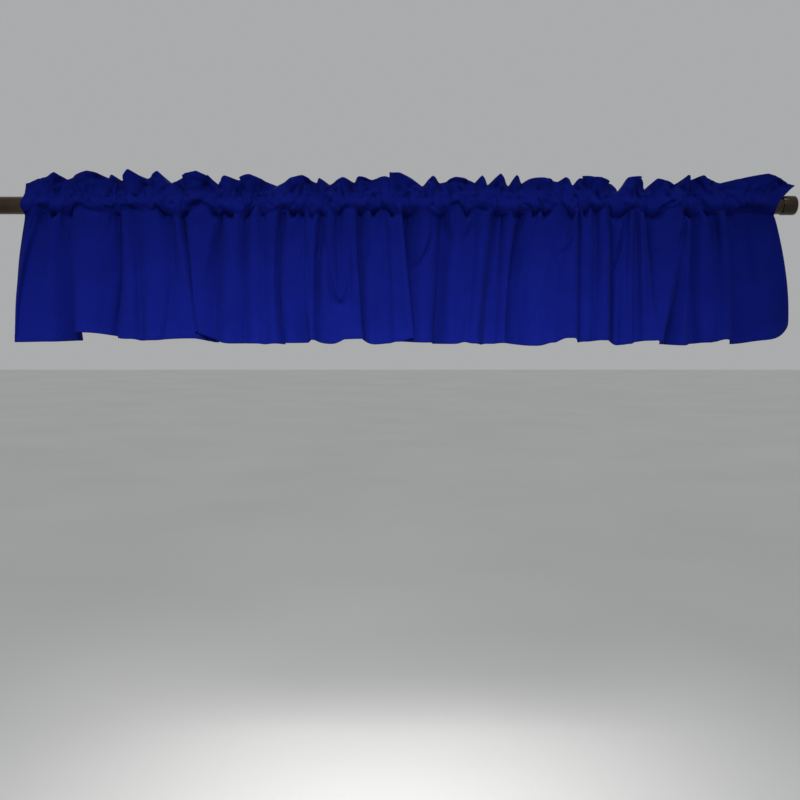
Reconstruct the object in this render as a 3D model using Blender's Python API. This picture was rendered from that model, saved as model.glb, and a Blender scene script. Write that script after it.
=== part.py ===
"""Window valance: two rod-pocket panels side by side on one rod with an end cap at each end.

Sizes are in millimetres and are turned into metres when a mesh is made. X runs along the rod, Y goes
back to the wall and Z is up. The origin is on the rod's axis, halfway along the rod.

Each panel is one closed solid. From top to hem it is a header, where two layers are sewn together, a
pocket, where they part and pass in front of and behind the rod, and a skirt of one layer. A fold's
valley is where the cloth runs back to the wall, and its crest is where it comes forward.
"""

import math
from collections import namedtuple

import bmesh
import bpy
import numpy as np

MM = 0.001

# The rod and its caps
ROD_DIAMETER = 38.0
OVERALL_LENGTH = 1778.0
ROD_SIDES = 40
CAP_DIAMETER = 41.6
CAP_LENGTH = 31.4
CAP_ROUNDING = 5.0
CAP_ROUNDING_STEPS = 3
METAL_CREASE = math.radians(40)
SEAT_GAP = 0.3

# The cloth
LAYER = 1.5
HEADER_SEAM_Z = 22.0
POCKET_SEAM_Z = -28.0
POCKET_SEAM_SAG = 3.0
POCKET_TIGHT = 22.0
POCKET_PUFF = 9.0
BACK_PUFF = 0.35
SEAM_GATHER = 4.5
FRONT_PLANE = -29.0
FOLD_DEPTH = 46.0
SKIRT_SPREAD = 34.0
VALLEY_PINCH = 0.42
RUFFLE_PINCH = 0.2
END_RUN = 45.0
CLOTH_CREASE = math.radians(60)

# How finely the cloth is divided
HEADER_LEVELS = (1.0, 0.62, 0.28)
POCKET_ROWS = 5
SKIRT_LEVELS = (0.1, 0.28, 0.52, 0.76, 1.0)
DEEP_FOLD = 0.6
DEEP_FOLD_LINES = 6
SOFT_FOLD_LINES = 4

# The pocket's corners stay this far from the rod's axis, so that its facets clear the rod by the seat gap.
FACET_TURN = math.radians(42)
POCKET_INSIDE = (ROD_DIAMETER / 2 + SEAT_GAP) / math.cos(FACET_TURN / 2)

# A skirt fold: its valley's x at the seam, halfway down and at the hem; how deep the valley is at those
# heights, as a share of FOLD_DEPTH; how far its crest leans to +X; how far back the crest stands, as a
# share of FOLD_DEPTH; and the hem's height at the valley and at the crest. The last row is the free edge.
Fold = namedtuple("Fold", "x_seam x_mid x_hem deep_seam deep_mid deep_hem lean set_back z_valley z_crest")

# A header ruffle: its dip's x and height on the top edge and how far back the dip stands, the dip's x at
# the seam, its peak's x and height on the top edge, and how far forward the peak stands. The first
# row's dip and the last row's are the header's free ends.
Ruffle = namedtuple("Ruffle", "x_dip z_dip back x_seam x_peak z_peak forward")

# A panel: how far the ends of the pocket's front and back wall stand out past the seam's ends.
Panel = namedtuple("Panel", "name folds ruffles front_first back_first front_last back_last")

LEFT_FOLDS = [Fold(*row) for row in (
    # x_seam, x_mid, x_hem, deep_seam, deep_mid, deep_hem, lean, set_back, z_valley, z_crest
    (-786, -804, -809, 0.45, 0.50, 0.50, 0, 0.10, -297, -297),
    (-738, -775, -789, 0.80, 0.60, 0.30, 4, 0.05, -297, -296),
    (-697, -676, -665, 0.85, 1.00, 1.10, -24, 0.00, -292, -276),
    (-580, -581, -594, 1.00, 1.00, 1.00, 2, 0.10, -285, -288),
    (-545, -541, -535, 0.50, 0.40, 0.35, 0, 0.00, -290, -290),
    (-467, -468, -485, 0.55, 0.35, 0.25, 4, 0.05, -289, -289),
    (-443, -432, -424, 1.00, 1.00, 1.15, -6, 0.00, -292, -282),
    (-356, -373, -384, 0.75, 0.80, 0.90, 4, 0.00, -296, -298),
    (-307, -310, -310, 0.70, 0.60, 0.60, 0, 0.05, -298, -298),
    (-272, -268, -266, 0.50, 0.35, 0.30, 0, 0.00, -297, -297),
    (-220, -233, -224, 0.80, 0.75, 0.90, 6, 0.05, -296, -295),
    (-179, -182, -178, 0.60, 0.50, 0.35, 0, 0.05, -293, -291),
    (-142, -151, -152, 1.00, 1.00, 1.00, 8, 0.00, -291, -297),
    (-107, -105, -93, 0.45, 0.50, 0.20, 0, 0.05, -295, -290),
    (-64, -61, -54, 0.85, 0.80, 0.75, 0, 0.00, -290, -297),
    (-3, -3, 1, 0.50, 0.45, 0.35, -2, -0.02, -298, -294),
    (30, 48, 61, 0.10, -0.05, -0.05, 0, 0.00, -286, -286),
)]

RIGHT_FOLDS = [Fold(*row) for row in (
    # x_seam, x_mid, x_hem, deep_seam, deep_mid, deep_hem, lean, set_back, z_valley, z_crest
    (36, 23, 19, 0.80, 0.85, 0.85, 20, 0.08, -294, -296),
    (119, 110, 106, 0.80, 0.85, 0.90, 4, 0.00, -298, -298),
    (187, 184, 174, 0.55, 0.45, 0.35, 0, 0.05, -297, -298),
    (237, 218, 206, 1.00, 0.95, 0.85, 0, 0.15, -299, -299),
    (248, 240, 233, 0.75, 0.70, 0.60, 0, 0.10, -299, -297),
    (285, 263, 256, 0.95, 1.00, 1.00, 14, 0.00, -297, -301),
    (396, 366, 366, 0.50, 0.45, 0.35, 2, 0.05, -294, -288),
    (415, 416, 417, 0.90, 1.00, 0.95, 0, 0.05, -288, -292),
    (450, 452, 448, 0.45, 0.45, 0.35, 0, 0.05, -293, -291),
    (481, 486, 487, 0.65, 0.70, 0.68, 0, 0.40, -290, -298),
    (520, 514, 513, 0.75, 0.60, 0.50, 0, 0.05, -301, -301),
    (537, 538, 540, 0.45, 0.50, 0.55, 0, 0.00, -300, -295),
    (560, 575, 590, 0.75, 0.55, 0.30, 0, 0.05, -291, -294),
    (645, 628, 604, 0.70, 0.90, 1.05, 8, 0.00, -298, -301),
    (662, 657, 666, 0.85, 0.85, 0.90, 2, 0.05, -301, -300),
    (706, 714, 718, 0.65, 0.45, 0.30, 0, 0.00, -299, -292),
    (731, 752, 762, 0.80, 0.95, 1.05, 6, 0.30, -300, -294),
    (843, 868, 872, 0.75, 0.85, 1.00, 0, 0.00, -268, -268),
)]

LEFT_RUFFLES = [Ruffle(*row) for row in (
    # x_dip, z_dip, back, x_seam, x_peak, z_peak, forward
    (-789, 46, 4, -786, -719, 68, 12),
    (-699, 56, 10, -700, -650, 71, 14),
    (-608, 59, 9, -612, -595, 65, 6),
    (-582, 54, 13, -580, -562, 75, 14),
    (-523, 58, 11, -528, -495, 71, 13),
    (-471, 48, 14, -445, -410, 71, 19),
    (-371, 44, 13, -392, -351, 62, 8),
    (-325, 55, 12, -318, -299, 64, 18),
    (-243, 43, 14, -268, -188, 62, 14),
    (-154, 47, 12, -158, -144, 58, 6),
    (-127, 45, 11, -126, -98, 58, 12),
    (-71, 49, 10, -74, -55, 61, 8),
    (-33, 56, 10, -36, -10, 61, 4),
    (22, 52, 12, 30, 22, 52, 0),
)]

RIGHT_RUFFLES = [Ruffle(*row) for row in (
    # x_dip, z_dip, back, x_seam, x_peak, z_peak, forward
    (5, 67, -11, 36, 30, 67, 15),
    (76, 41, 12, 78, 99, 62, 10),
    (115, 48, 10, 112, 152, 58, 14),
    (190, 49, 12, 188, 206, 63, 9),
    (219, 43, 13, 222, 245, 66, 13),
    (264, 40, 11, 262, 279, 64, 9),
    (294, 48, 12, 290, 338, 57, 15),
    (372, 51, 10, 368, 386, 59, 7),
    (408, 47, 13, 414, 448, 59, 20),
    (506, 33, 14, 490, 536, 57, 16),
    (560, 34, 12, 548, 590, 55, 12),
    (634, 47, 10, 640, 652, 63, 8),
    (661, 55, 11, 662, 684, 62, 12),
    (728, 49, 13, 730, 812, 66, 15),
    (880, 42, 6, 843, 880, 42, 0),
)]

PANELS = (
    Panel("panel_left", LEFT_FOLDS, LEFT_RUFFLES, -15, -8, 0, 0),
    Panel("panel_right", RIGHT_FOLDS, RIGHT_RUFFLES, 0, 0, 8, 14),
)

CLOTH_LOOK = ("blue_cloth", (0.006, 0.014, 0.21), 0.85, 0.0)
METAL_LOOK = ("bronze_metal", (0.045, 0.034, 0.024), 0.38, 0.8)


def column(rows, name):
    """One column of a table."""
    return np.array([getattr(row, name) for row in rows], float)


def rise(place):
    """0 in a fold's valleys and 1 on its crest."""
    return (1 - np.cos(2 * np.pi * place)) / 2


def over_folds(valleys, crests, index, place):
    """A value that goes from each valley over the crest to the next valley."""
    nearest = np.where(place < 0.5, valleys[index], valleys[index + 1])
    return nearest + (crests[index] - nearest) * rise(place)


def along_folds(valleys, lean, index, place, pinch):
    """The x of each line of points: narrow valleys, broad crests, each crest leaning its own way."""
    share = place - pinch * np.sin(2 * np.pi * place) / (2 * np.pi)
    return valleys[index] + (valleys[index + 1] - valleys[index]) * share + lean[index] * rise(place)


def by_height(seam, middle, hem, down):
    """The smooth curve through a value at the seam, halfway down and at the hem."""
    return seam * (1 - down) * (1 - 2 * down) + middle * 4 * down * (1 - down) + hem * down * (2 * down - 1)


def fold_lines(folds):
    """The fold that each upright line of points lies in, and its place in the fold from 0 to 1."""
    index = []
    place = []
    for number in range(len(folds) - 1):
        deepest = max(folds[number].deep_mid, folds[number + 1].deep_mid)
        steps = DEEP_FOLD_LINES if deepest > DEEP_FOLD else SOFT_FOLD_LINES
        index += [number] * steps
        place += [step / steps for step in range(steps)]
    return np.array(index + [len(folds) - 2]), np.array(place + [1.0])


def ruffle_lines(ruffles, x_seam):
    """The ruffle above each upright line, and its place in it, from where the line meets the seam."""
    dips = column(ruffles, "x_seam")
    index = np.clip(np.searchsorted(dips, x_seam, side="right") - 1, 0, len(dips) - 2)
    return index, np.clip((x_seam - dips[index]) / (dips[index + 1] - dips[index]), 0, 1)


def row_of(x, y, z):
    """One row of points along the panel."""
    return np.stack(np.broadcast_arrays(x, y, z), axis=-1).astype(float)


def skirt_row(folds, index, place, gather, down):
    """The skirt's middle surface at one height, from 0 at the seam to 1 at the hem."""
    valley_x = by_height(column(folds, "x_seam"), column(folds, "x_mid"), column(folds, "x_hem"), down)
    deep = by_height(column(folds, "deep_seam"), column(folds, "deep_mid"), column(folds, "deep_hem"), down)
    x = along_folds(valley_x, column(folds, "lean") * down, index, place, VALLEY_PINCH)
    y = FRONT_PLANE + FOLD_DEPTH * over_folds(deep, column(folds, "set_back"), index, place)
    hem = over_folds(column(folds, "z_valley"), column(folds, "z_crest"), index, place)
    z = POCKET_SEAM_Z + (hem - POCKET_SEAM_Z) * down
    spread = 1 - np.exp((z - POCKET_SEAM_Z) / SKIRT_SPREAD)
    return row_of(x, gather + (y - gather) * spread, z)


def header_row(ruffles, index, place, x_seam, gather, up):
    """The header's middle surface at one height, from 0 at its seam to 1 at its top edge."""
    dips = column(ruffles, "x_dip")
    lean = np.append(column(ruffles, "x_peak")[:-1] - (dips[1:] + dips[:-1]) / 2, 0)
    x = along_folds(dips, lean, index, place, RUFFLE_PINCH)
    y = over_folds(column(ruffles, "back"), -column(ruffles, "forward"), index, place)
    z = over_folds(column(ruffles, "z_dip"), column(ruffles, "z_peak"), index, place)
    seam = row_of(x_seam, gather, HEADER_SEAM_Z)
    return seam + (row_of(x, y, z) - seam) * up


def pocket_row(x_seam, gather, puff, side, turn, stand_out):
    """One wall of the pocket at one angle round the rod, 0 at the header's seam: side is -1 in front
    and 1 behind."""
    reach = (HEADER_SEAM_Z - POCKET_SEAM_Z) / 2 + (HEADER_SEAM_Z + POCKET_SEAM_Z) / 2 * math.cos(turn)
    reach = reach + (POCKET_TIGHT - reach + POCKET_PUFF * puff) * math.sin(turn)
    y = gather * math.cos(turn) ** 4 + side * reach * math.sin(turn)
    z = reach * math.cos(turn)
    push = np.maximum(1, (POCKET_INSIDE + LAYER / 2) / np.hypot(y, z))
    return row_of(x_seam + stand_out * math.sin(turn), y * push, z * push)


def end_run(x_seam, first, last):
    """How far each line stands out at the pocket's ends, fading along the panel."""
    from_first = np.clip(1 - (x_seam - x_seam[0]) / END_RUN, 0, 1)
    from_last = np.clip(1 - (x_seam[-1] - x_seam) / END_RUN, 0, 1)
    return first * from_first**2 + last * from_last**2


def facing(path):
    """The unit normals of a grid of points, pointing to the front."""
    down = np.gradient(path, axis=0)
    along = np.gradient(path, axis=1)
    normal = np.cross(down, along)
    return normal / np.linalg.norm(normal, axis=2, keepdims=True)


def panel_surfaces(panel):
    """The rows of points of a panel's front, its back and its pocket's two inner walls."""
    index, place = fold_lines(panel.folds)
    upright = np.zeros(len(panel.folds))
    x_seam = along_folds(column(panel.folds, "x_seam"), upright, index, place, VALLEY_PINCH)
    ruffle, ruffle_place = ruffle_lines(panel.ruffles, x_seam)
    puff = rise(ruffle_place)
    gather = SEAM_GATHER * (1 - 2 * puff)

    header = [header_row(panel.ruffles, ruffle, ruffle_place, x_seam, gather, up) for up in HEADER_LEVELS]
    top_seam = row_of(x_seam, gather, HEADER_SEAM_Z)
    low_seam = row_of(x_seam, gather, POCKET_SEAM_Z - POCKET_SEAM_SAG * puff)
    skirt = [skirt_row(panel.folds, index, place, gather, down) for down in SKIRT_LEVELS]
    turns = [math.pi * number / POCKET_ROWS for number in range(1, POCKET_ROWS)]
    front_ends = end_run(x_seam, panel.front_first, panel.front_last)
    back_ends = end_run(x_seam, panel.back_first, panel.back_last)
    front_wall = [pocket_row(x_seam, gather, puff, -1, turn, front_ends) for turn in turns]
    back_wall = [pocket_row(x_seam, gather, BACK_PUFF * (1 - puff), 1, turn, back_ends) for turn in turns]

    seams = len(header), len(header) + POCKET_ROWS
    front = sheet_side(header + [top_seam] + front_wall + [low_seam] + skirt, seams, 1)
    back = sheet_side(header + [top_seam] + back_wall + [low_seam] + skirt, seams, -1)
    walls = [tunnel_rows(wall, top_seam, low_seam) for wall in (front_wall, back_wall)]
    return front, back, *walls


def sheet_side(rows, seams, side):
    """One outer side of the cloth: a whole layer off the middle down to the header's seam and at the
    pocket's seam, where two layers meet, and half a layer off it elsewhere."""
    path = np.array(rows)
    offset = np.full(len(rows), LAYER / 2)
    offset[: seams[0] + 1] = LAYER
    offset[seams[1]] = LAYER
    return path + side * facing(path) * offset[:, None, None]


def tunnel_rows(wall, top_seam, low_seam):
    """The inner side of a pocket wall, from one seam to the other."""
    inner = np.array([top_seam] + wall + [low_seam])
    reach = np.hypot(inner[..., 1], inner[..., 2])
    inner[..., 1:] *= ((reach - LAYER / 2) / reach)[..., None]
    return inner


def strip_faces(upper, lower, split):
    """The triangles between two rows of vertex numbers. The split is drawn alike on both sides of the
    cloth, so that no layer bends through its other side."""
    faces = []
    for left in range(len(upper) - 1):
        a, b, c, d = upper[left], lower[left], lower[left + 1], upper[left + 1]
        faces += [(a, b, c), (a, c, d)] if split == "falling" else [(a, b, d), (b, c, d)]
    return faces


def wall_faces(going_down, going_up):
    """The triangles of a closed ring of rows: down one side of the cloth and up the other."""
    faces = []
    for upper, lower in zip(going_down[:-1], going_down[1:]):
        faces += strip_faces(upper, lower, "falling")
    faces += strip_faces(going_down[-1], going_up[0], "falling")
    for lower, upper in zip(going_up[:-1], going_up[1:]):
        faces += strip_faces(lower, upper, "rising")
    return faces + strip_faces(going_up[-1], going_down[0], "falling")


def closed_faces(front, back, front_wall, back_wall, first_seam):
    """The faces of the solid: its outer skin, the pocket's tunnel and the two open ends.

    Each argument is a grid of vertex numbers. The front tunnel wall holds the rows that both walls share.
    """
    skin = wall_faces(front, back[::-1])
    tunnel = wall_faces(front_wall, back_wall[::-1])
    shared_back = np.concatenate([front_wall[:1], back_wall, front_wall[-1:]])
    first = end_faces(front[:, 0], back[:, 0], front_wall[:, 0], shared_back[:, 0], first_seam)
    last = end_faces(front[:, -1], back[:, -1], front_wall[:, -1], shared_back[:, -1], first_seam)
    return skin + first + [face[::-1] for face in tunnel + last]


def end_faces(front, back, front_wall, back_wall, first_seam):
    """The cut ends of the layers at the panel's left end, from one line of vertex numbers each."""
    second_seam = first_seam + len(front_wall) - 1
    faces = [(front[first_seam], back[first_seam], front_wall[0])]
    faces += [(front_wall[-1], back[second_seam], front[second_seam])]
    for r in list(range(first_seam)) + list(range(second_seam, len(front) - 1)):
        faces.append((front[r], back[r], back[r + 1], front[r + 1]))
    for k in range(len(front_wall) - 1):
        r = first_seam + k
        faces.append((front[r], front_wall[k], front_wall[k + 1], front[r + 1]))
        faces.append((back_wall[k], back[r], back[r + 1], back_wall[k + 1]))
    return faces


def make_material(look):
    """A plain material for one kind of surface."""
    name, color, roughness, metallic = look
    material = bpy.data.materials.get(name) or bpy.data.materials.new(name)
    material.use_nodes = True
    surface = material.node_tree.nodes["Principled BSDF"]
    surface.inputs["Base Color"].default_value = (*color, 1.0)
    surface.inputs["Roughness"].default_value = roughness
    surface.inputs["Metallic"].default_value = metallic
    return material


def make_object(name, mesh, look):
    """A named object with its own material."""
    made = bpy.data.objects.new(name, mesh)
    bpy.context.collection.objects.link(made)
    mesh.materials.append(make_material((f"{name}_{look[0]}",) + look[1:]))
    return made


def make_panel(panel):
    """One gathered panel with its open rod pocket."""
    front, back, front_wall, back_wall = panel_surfaces(panel)
    grids = []
    points = []
    for surface in (front, back, front_wall, back_wall[1:-1]):
        start = len(points)
        points += [tuple(point * MM) for point in surface.reshape(-1, 3)]
        grids.append(np.arange(start, len(points)).reshape(surface.shape[:2]))
    faces = closed_faces(*grids, len(HEADER_LEVELS))
    mesh = bpy.data.meshes.new(panel.name)
    mesh.from_pydata(points, [], [tuple(int(corner) for corner in face) for face in faces])
    mesh.shade_smooth()
    mesh.set_sharp_from_angle(angle=CLOTH_CREASE)
    make_object(panel.name, mesh, CLOTH_LOOK)


def make_cylinder(name, radius, length, center, look):
    """A bar along X, in the mesh's own coordinates, placed with its middle at the given x."""
    mesh = bpy.data.meshes.new(name)
    shape = bmesh.new()
    bmesh.ops.create_cone(
        shape, cap_ends=True, segments=ROD_SIDES, radius1=radius * MM, radius2=radius * MM, depth=length * MM
    )
    shape.to_mesh(mesh)
    shape.free()
    bar = make_object(name, mesh, look)
    bar.rotation_euler = (0, math.pi / 2, 0)
    bar.location = (center * MM, 0, 0)
    return bar


def round_outer_rim(cap, outer_end):
    """Round the rim of a cap's outer end, at -1 or 1 along the cap's own Z."""
    shape = bmesh.new()
    shape.from_mesh(cap.data)
    level = outer_end * CAP_LENGTH / 2 * MM
    rim = [edge for edge in shape.edges if all(abs(corner.co.z - level) < MM for corner in edge.verts)]
    bmesh.ops.bevel(
        shape, geom=rim, offset=CAP_ROUNDING * MM, segments=CAP_ROUNDING_STEPS, profile=0.5, affect="EDGES"
    )
    shape.to_mesh(cap.data)
    shape.free()


def make_rod():
    """The rod, which ends just short of the two caps."""
    length = OVERALL_LENGTH - 2 * (CAP_LENGTH + SEAT_GAP)
    rod = make_cylinder("rod", ROD_DIAMETER / 2, length, 0, METAL_LOOK)
    rod.data.shade_smooth()
    rod.data.set_sharp_from_angle(angle=METAL_CREASE)


def make_caps():
    """A cap at each end of the rod, its outer rim rounded."""
    for name, side in (("end_cap_left", -1), ("end_cap_right", 1)):
        center = side * (OVERALL_LENGTH - CAP_LENGTH) / 2
        cap = make_cylinder(name, CAP_DIAMETER / 2, CAP_LENGTH, center, METAL_LOOK)
        round_outer_rim(cap, side)
        cap.data.shade_smooth()
        cap.data.set_sharp_from_angle(angle=METAL_CREASE)


def main():
    for old in list(bpy.data.objects):
        bpy.data.objects.remove(old, do_unlink=True)
    make_rod()
    make_caps()
    for panel in PANELS:
        make_panel(panel)


main()
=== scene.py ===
"""A window valance: two gathered blue panels on a dark bronze rod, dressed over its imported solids.

Lengths are in millimetres and are turned into metres when a mesh is made. X runs along the rod, Y goes
back to the wall and Z is up. A fold's valley is where the cloth runs back to the wall, and its crest is
where it comes forward. A line is one run of points from the header down to the hem, and a row is one run
of points along the panel.
"""

import math
from collections import namedtuple

import bpy
import numpy as np
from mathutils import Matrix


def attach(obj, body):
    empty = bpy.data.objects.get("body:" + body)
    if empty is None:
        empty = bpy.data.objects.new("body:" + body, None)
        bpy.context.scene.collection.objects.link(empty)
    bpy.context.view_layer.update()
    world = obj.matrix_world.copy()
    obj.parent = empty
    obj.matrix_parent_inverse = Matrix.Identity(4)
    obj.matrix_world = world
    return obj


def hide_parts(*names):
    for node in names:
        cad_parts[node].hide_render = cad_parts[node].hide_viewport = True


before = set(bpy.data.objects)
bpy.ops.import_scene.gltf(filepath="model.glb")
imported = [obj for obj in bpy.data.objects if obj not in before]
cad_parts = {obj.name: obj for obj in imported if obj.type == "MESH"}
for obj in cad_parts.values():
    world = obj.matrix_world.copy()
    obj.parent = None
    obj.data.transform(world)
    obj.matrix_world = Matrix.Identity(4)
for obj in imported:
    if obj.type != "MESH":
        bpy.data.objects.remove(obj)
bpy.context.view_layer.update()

MM = 0.001

# The camera, from the photo's vanishing lines
CAMERA_PLACE = (0.0275, -1.9895, -0.2667)
CAMERA_TILT = 4.56
CAMERA_LENS = 40.5
CAMERA_SENSOR = 36.0

# The rod and its caps, as in the part
ROD_RADIUS = 19.0
OVERALL_LENGTH = 1778.0
CAP_RADIUS = 20.8
CAP_LENGTH = 31.4
SEAT_GAP = 0.3

# The metal's sides, each rim's rounding and its steps, how near a rim its edges lie, and the widest angle
# that is shaded as one surface
METAL_SIDES = 96
CAP_FACE_RIM = (5.0, 8)
CAP_INNER_RIM = (0.7, 3)
ROD_RIM = (0.8, 3)
RIM_SLACK = 0.1
SMOOTH_ANGLE = math.radians(35)

# The panels' own forms, as in the part
HEADER_SEAM_Z = 23.0
POCKET_SEAM_Z = -24.0
BACK_TIGHT = 21.0
POCKET_STAND = 7.0
POCKET_PUFF = 6.0
FRONT_PLANE = -29.0
FOLD_DEPTH = 44.0
SKIRT_SPREAD = 6.0
END_RUN = 25.0

# The header's seam lies in front of the rod's top, and the header leans forward from it. The seam winds up
# and down in waves of three lengths.
HEADER_SEAM_Y = -19.0
HEADER_GATHER = 3.0
HEADER_FORWARD = 4.0
SEAM_WINDING = 1.5
SEAM_WAVES = (21, 34, 9)

# The cloth: how far a header layer stands off the middle, and how that closes at the seam, the thickness
# of one layer and of a hem, and the hems' widths
HEADER_LAYER = 0.8
SEAM_TAPER = (0.7, 0.58, 0.48, 0.4, 0.25, 0.1)
CLOTH_THICK = 0.45
HEM_THICK = 1.3
BOTTOM_HEM = 13.0
SIDE_HEM = 9.0

# How near the rod's axis the cloth may come, and how near the pocket's walls are laid out
CLEAR_REACH = ROD_RADIUS + SEAT_GAP + CLOTH_THICK
WALL_REACH = CLEAR_REACH + 0.4

# The pocket's lower seam hugs the rod where it is tucked, and stands in front of it at the bridges.
TUCK_REACH = 21.2
TUCK_BACK = 3.0
BRIDGE_Y = -27.0
SEAM_ROUNDING = 3.0
EDGE_ROUNDING = 2.2

# The powers of how forms grow, where above 1 is late: a crest's lean and the corner's curl down the skirt,
# the folds' depth under the seam, and the header's fans and its reach forward
LEAN_GROWTH = 0.6
CURL_GROWTH = 3
DEPTH_GROWTH = 0.8
FAN_GROWTH = 1.15
FORWARD_GROWTH = 0.8

# The folds: how much a steep side narrows its valley, how suddenly the hem steps up to a crest that hangs
# over, how uneven they are from side to side and at their shoulders, and how steep a ruffle's sides are
VALLEY_NARROWING = 1.7
HEM_SUDDENNESS = 2
UNEVENNESS = (1.4, 1.0)
RUFFLE_STEEPNESS = 0.1

# The powers of the pocket's walls: how late the front one goes back to a tucked seam, how low it is full,
# how round both are, how fast their ends and the header seam's turn in, and how the front's rows close up
TUCK_LATENESS = 2.2
WALL_FULLNESS = 1.4
WALL_ROUNDNESS = 1.2
BACK_ROUNDNESS = 0.7
FRONT_TURN_IN = 2
BACK_TURN_IN = 6
HEADER_TURN_IN = (1.5, 2)
WALL_CLOSENESS = 1.2

# The sewing thread. A stitch bends at a share of its length each side of its middle, its ends dive in by a
# share of its thickness, and a hem is sewn at a share of its width.
THREAD_SIDES = 6
THREAD_THICK = 0.5
STITCH_LENGTH = 2.4
STITCH_PITCH = 3.1
STITCH_BEND = 0.32
STITCH_DIVE = 0.6
HEM_STITCH = 0.85

# How finely the cloth is divided. The lines and rows at a hem are shares of its width, the rows under the
# seam are distances from it, and the header's are shares of its height.
CLOTH_LINES = 450
SIDE_HEM_LINES = (0, 0.5, HEM_STITCH, 0.97, 1.03, 1.3)
FOLD_STEPS = 400
HEADER_UPS = (1.0, 0.96, 0.89, 0.81, 0.73, 0.65, 0.57, 0.49, 0.41, 0.33, 0.25, 0.17, 0.09)
WALL_TURNS = 15
BACK_TURNS = 7
SKIRT_ROWS = 54
SEAM_ROWS = (1.3, 2.8, 4.6, 7.0, 10.5, 15.5, 22.5)
HEM_ROWS = (1.35, 1.04, 0.97, HEM_STITCH, 0.5, 0.2, 0.0)

# The header's folded top edge rises by a share of its first step, and the back wall ends in a few rows
# under the lower seam, this far behind the front.
CROWN_RISE = 0.35
TAIL_ROWS = 3
TAIL_SET_BACK = 0.9

# The lower right corner of the valance is rounded and curls back: its width, height and curl.
CORNER = (70.0, 47.0, 12.0)

# Where two panels meet, the right one's header lies this far in front, over this run along the panel. It
# comes forward from this height over the lower seam on, over this run up.
OVERLAP_LIFT = 4.5
OVERLAP_RUN = 45.0
OVERLAP_FROM = 8
OVERLAP_RISE = 16

# A kind of crumple in the header and the pocket: how many there are in each spacing, their heights, how
# much they slant, their half widths and half lengths, and their depths.
Crumple = namedtuple("Crumple", "number levels slanting widths lengths depths")
CRUMPLE_SPACING = 9
CRUMPLES = (
    Crumple(1, (-8, 44), 0.35, (2.8, 4.6), (9, 20), (3.6, 9.0)),
    Crumple(2, (-14, 58), 0.8, (2.6, 4.5), (5, 12), (2.6, 6.8)),
)

# The crumples fade out down to the lower seam, and to a share at the panel's ends. The swells fade out up
# to the header's seam, and a pucker fades by a power.
CRUMPLE_FADE = 12
END_CRUMPLE = 0.25
END_CRUMPLE_RUN = 30
SWELL_FADE = 60
PUCKER_FADE = 1.5

# The weave's repeat in metres, and how many uneven places a metre has across a yarn, along it, and of the
# broad ones of the whole cloth
WEAVE_PITCH = 0.0005
ACROSS_YARN = 1400
ALONG_YARN = 30
BROAD_PLACES = 14

# The studio, in metres, watts and degrees: the floor, the sky and the lights
FLOOR_Z = -2.2
FLOOR_SIZE = 80
SKY_COLOR = (0.93, 0.94, 0.95, 1)
SKY_STRENGTH = 0.435
Light = namedtuple("Light", "name place aim size power color spread")
LIGHTS = (
    Light("key", (-0.10, -1.7, 0.95), (-0.10, 0, -0.68), (1.8, 0.3), 8.7, (1, 0.99, 0.97), 38),
    Light("front", (-0.05, -2.3, -0.45), (-0.05, 0, -0.75), (1.4, 0.5), 2.3, (1, 0.99, 0.98), 38),
    Light("overhead", (0.2, -0.9, 2.0), (0, 0, 0), (2.4, 0.4), 4.0, (0.97, 0.98, 1), 90),
    Light("back", (0.5, 2.6, 1.6), (0, 0, -0.15), (2.4, 1.4), 26, (0.97, 0.98, 1), 150),
)

# A skirt fold: its valley's x at the seam, halfway down and at the hem; how deep the valley is at those
# heights, as a share of FOLD_DEPTH; how far its crest leans to +X, and how far back it stands, as such a
# share; the hem's height at the valley and at the crest; and how steep the valley's left and right sides
# are. The last row is the free edge.
Fold = namedtuple(
    "Fold", "x_seam x_mid x_hem deep_seam deep_mid deep_hem lean set_back z_valley z_crest left right"
)

# A header ruffle: its dip's x on the top edge and how far back the dip stands, the dip's x at the seam, its
# peak's x on the top edge, how far forward the peak stands, and how far it fans out over its dips. The
# first row's dip and the last row's are the header's free ends.
Ruffle = namedtuple("Ruffle", "x_dip back x_seam x_peak forward fan")

# A crease: its start, middle and end in the front view, its depth, where less than 0 is a ridge, its half
# width, and how far the cloth on its left hand laps out over it, as a pouch does over its lower edge.
Crease = namedtuple("Crease", "x_start z_start x_mid z_mid x_end z_end depth width lap", defaults=(0,))

# A panel: its tables, how far the ends of the pocket's front wall, its back wall and the header's seam stand
# out past the pocket's lower seam, whether its first end overlaps and its last corner is rounded, and the
# seed of its random draws.
Panel = namedtuple(
    "Panel", "name folds ruffles seam top creases front_ends back_ends header_ends overlaps rounded seed"
)

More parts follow.
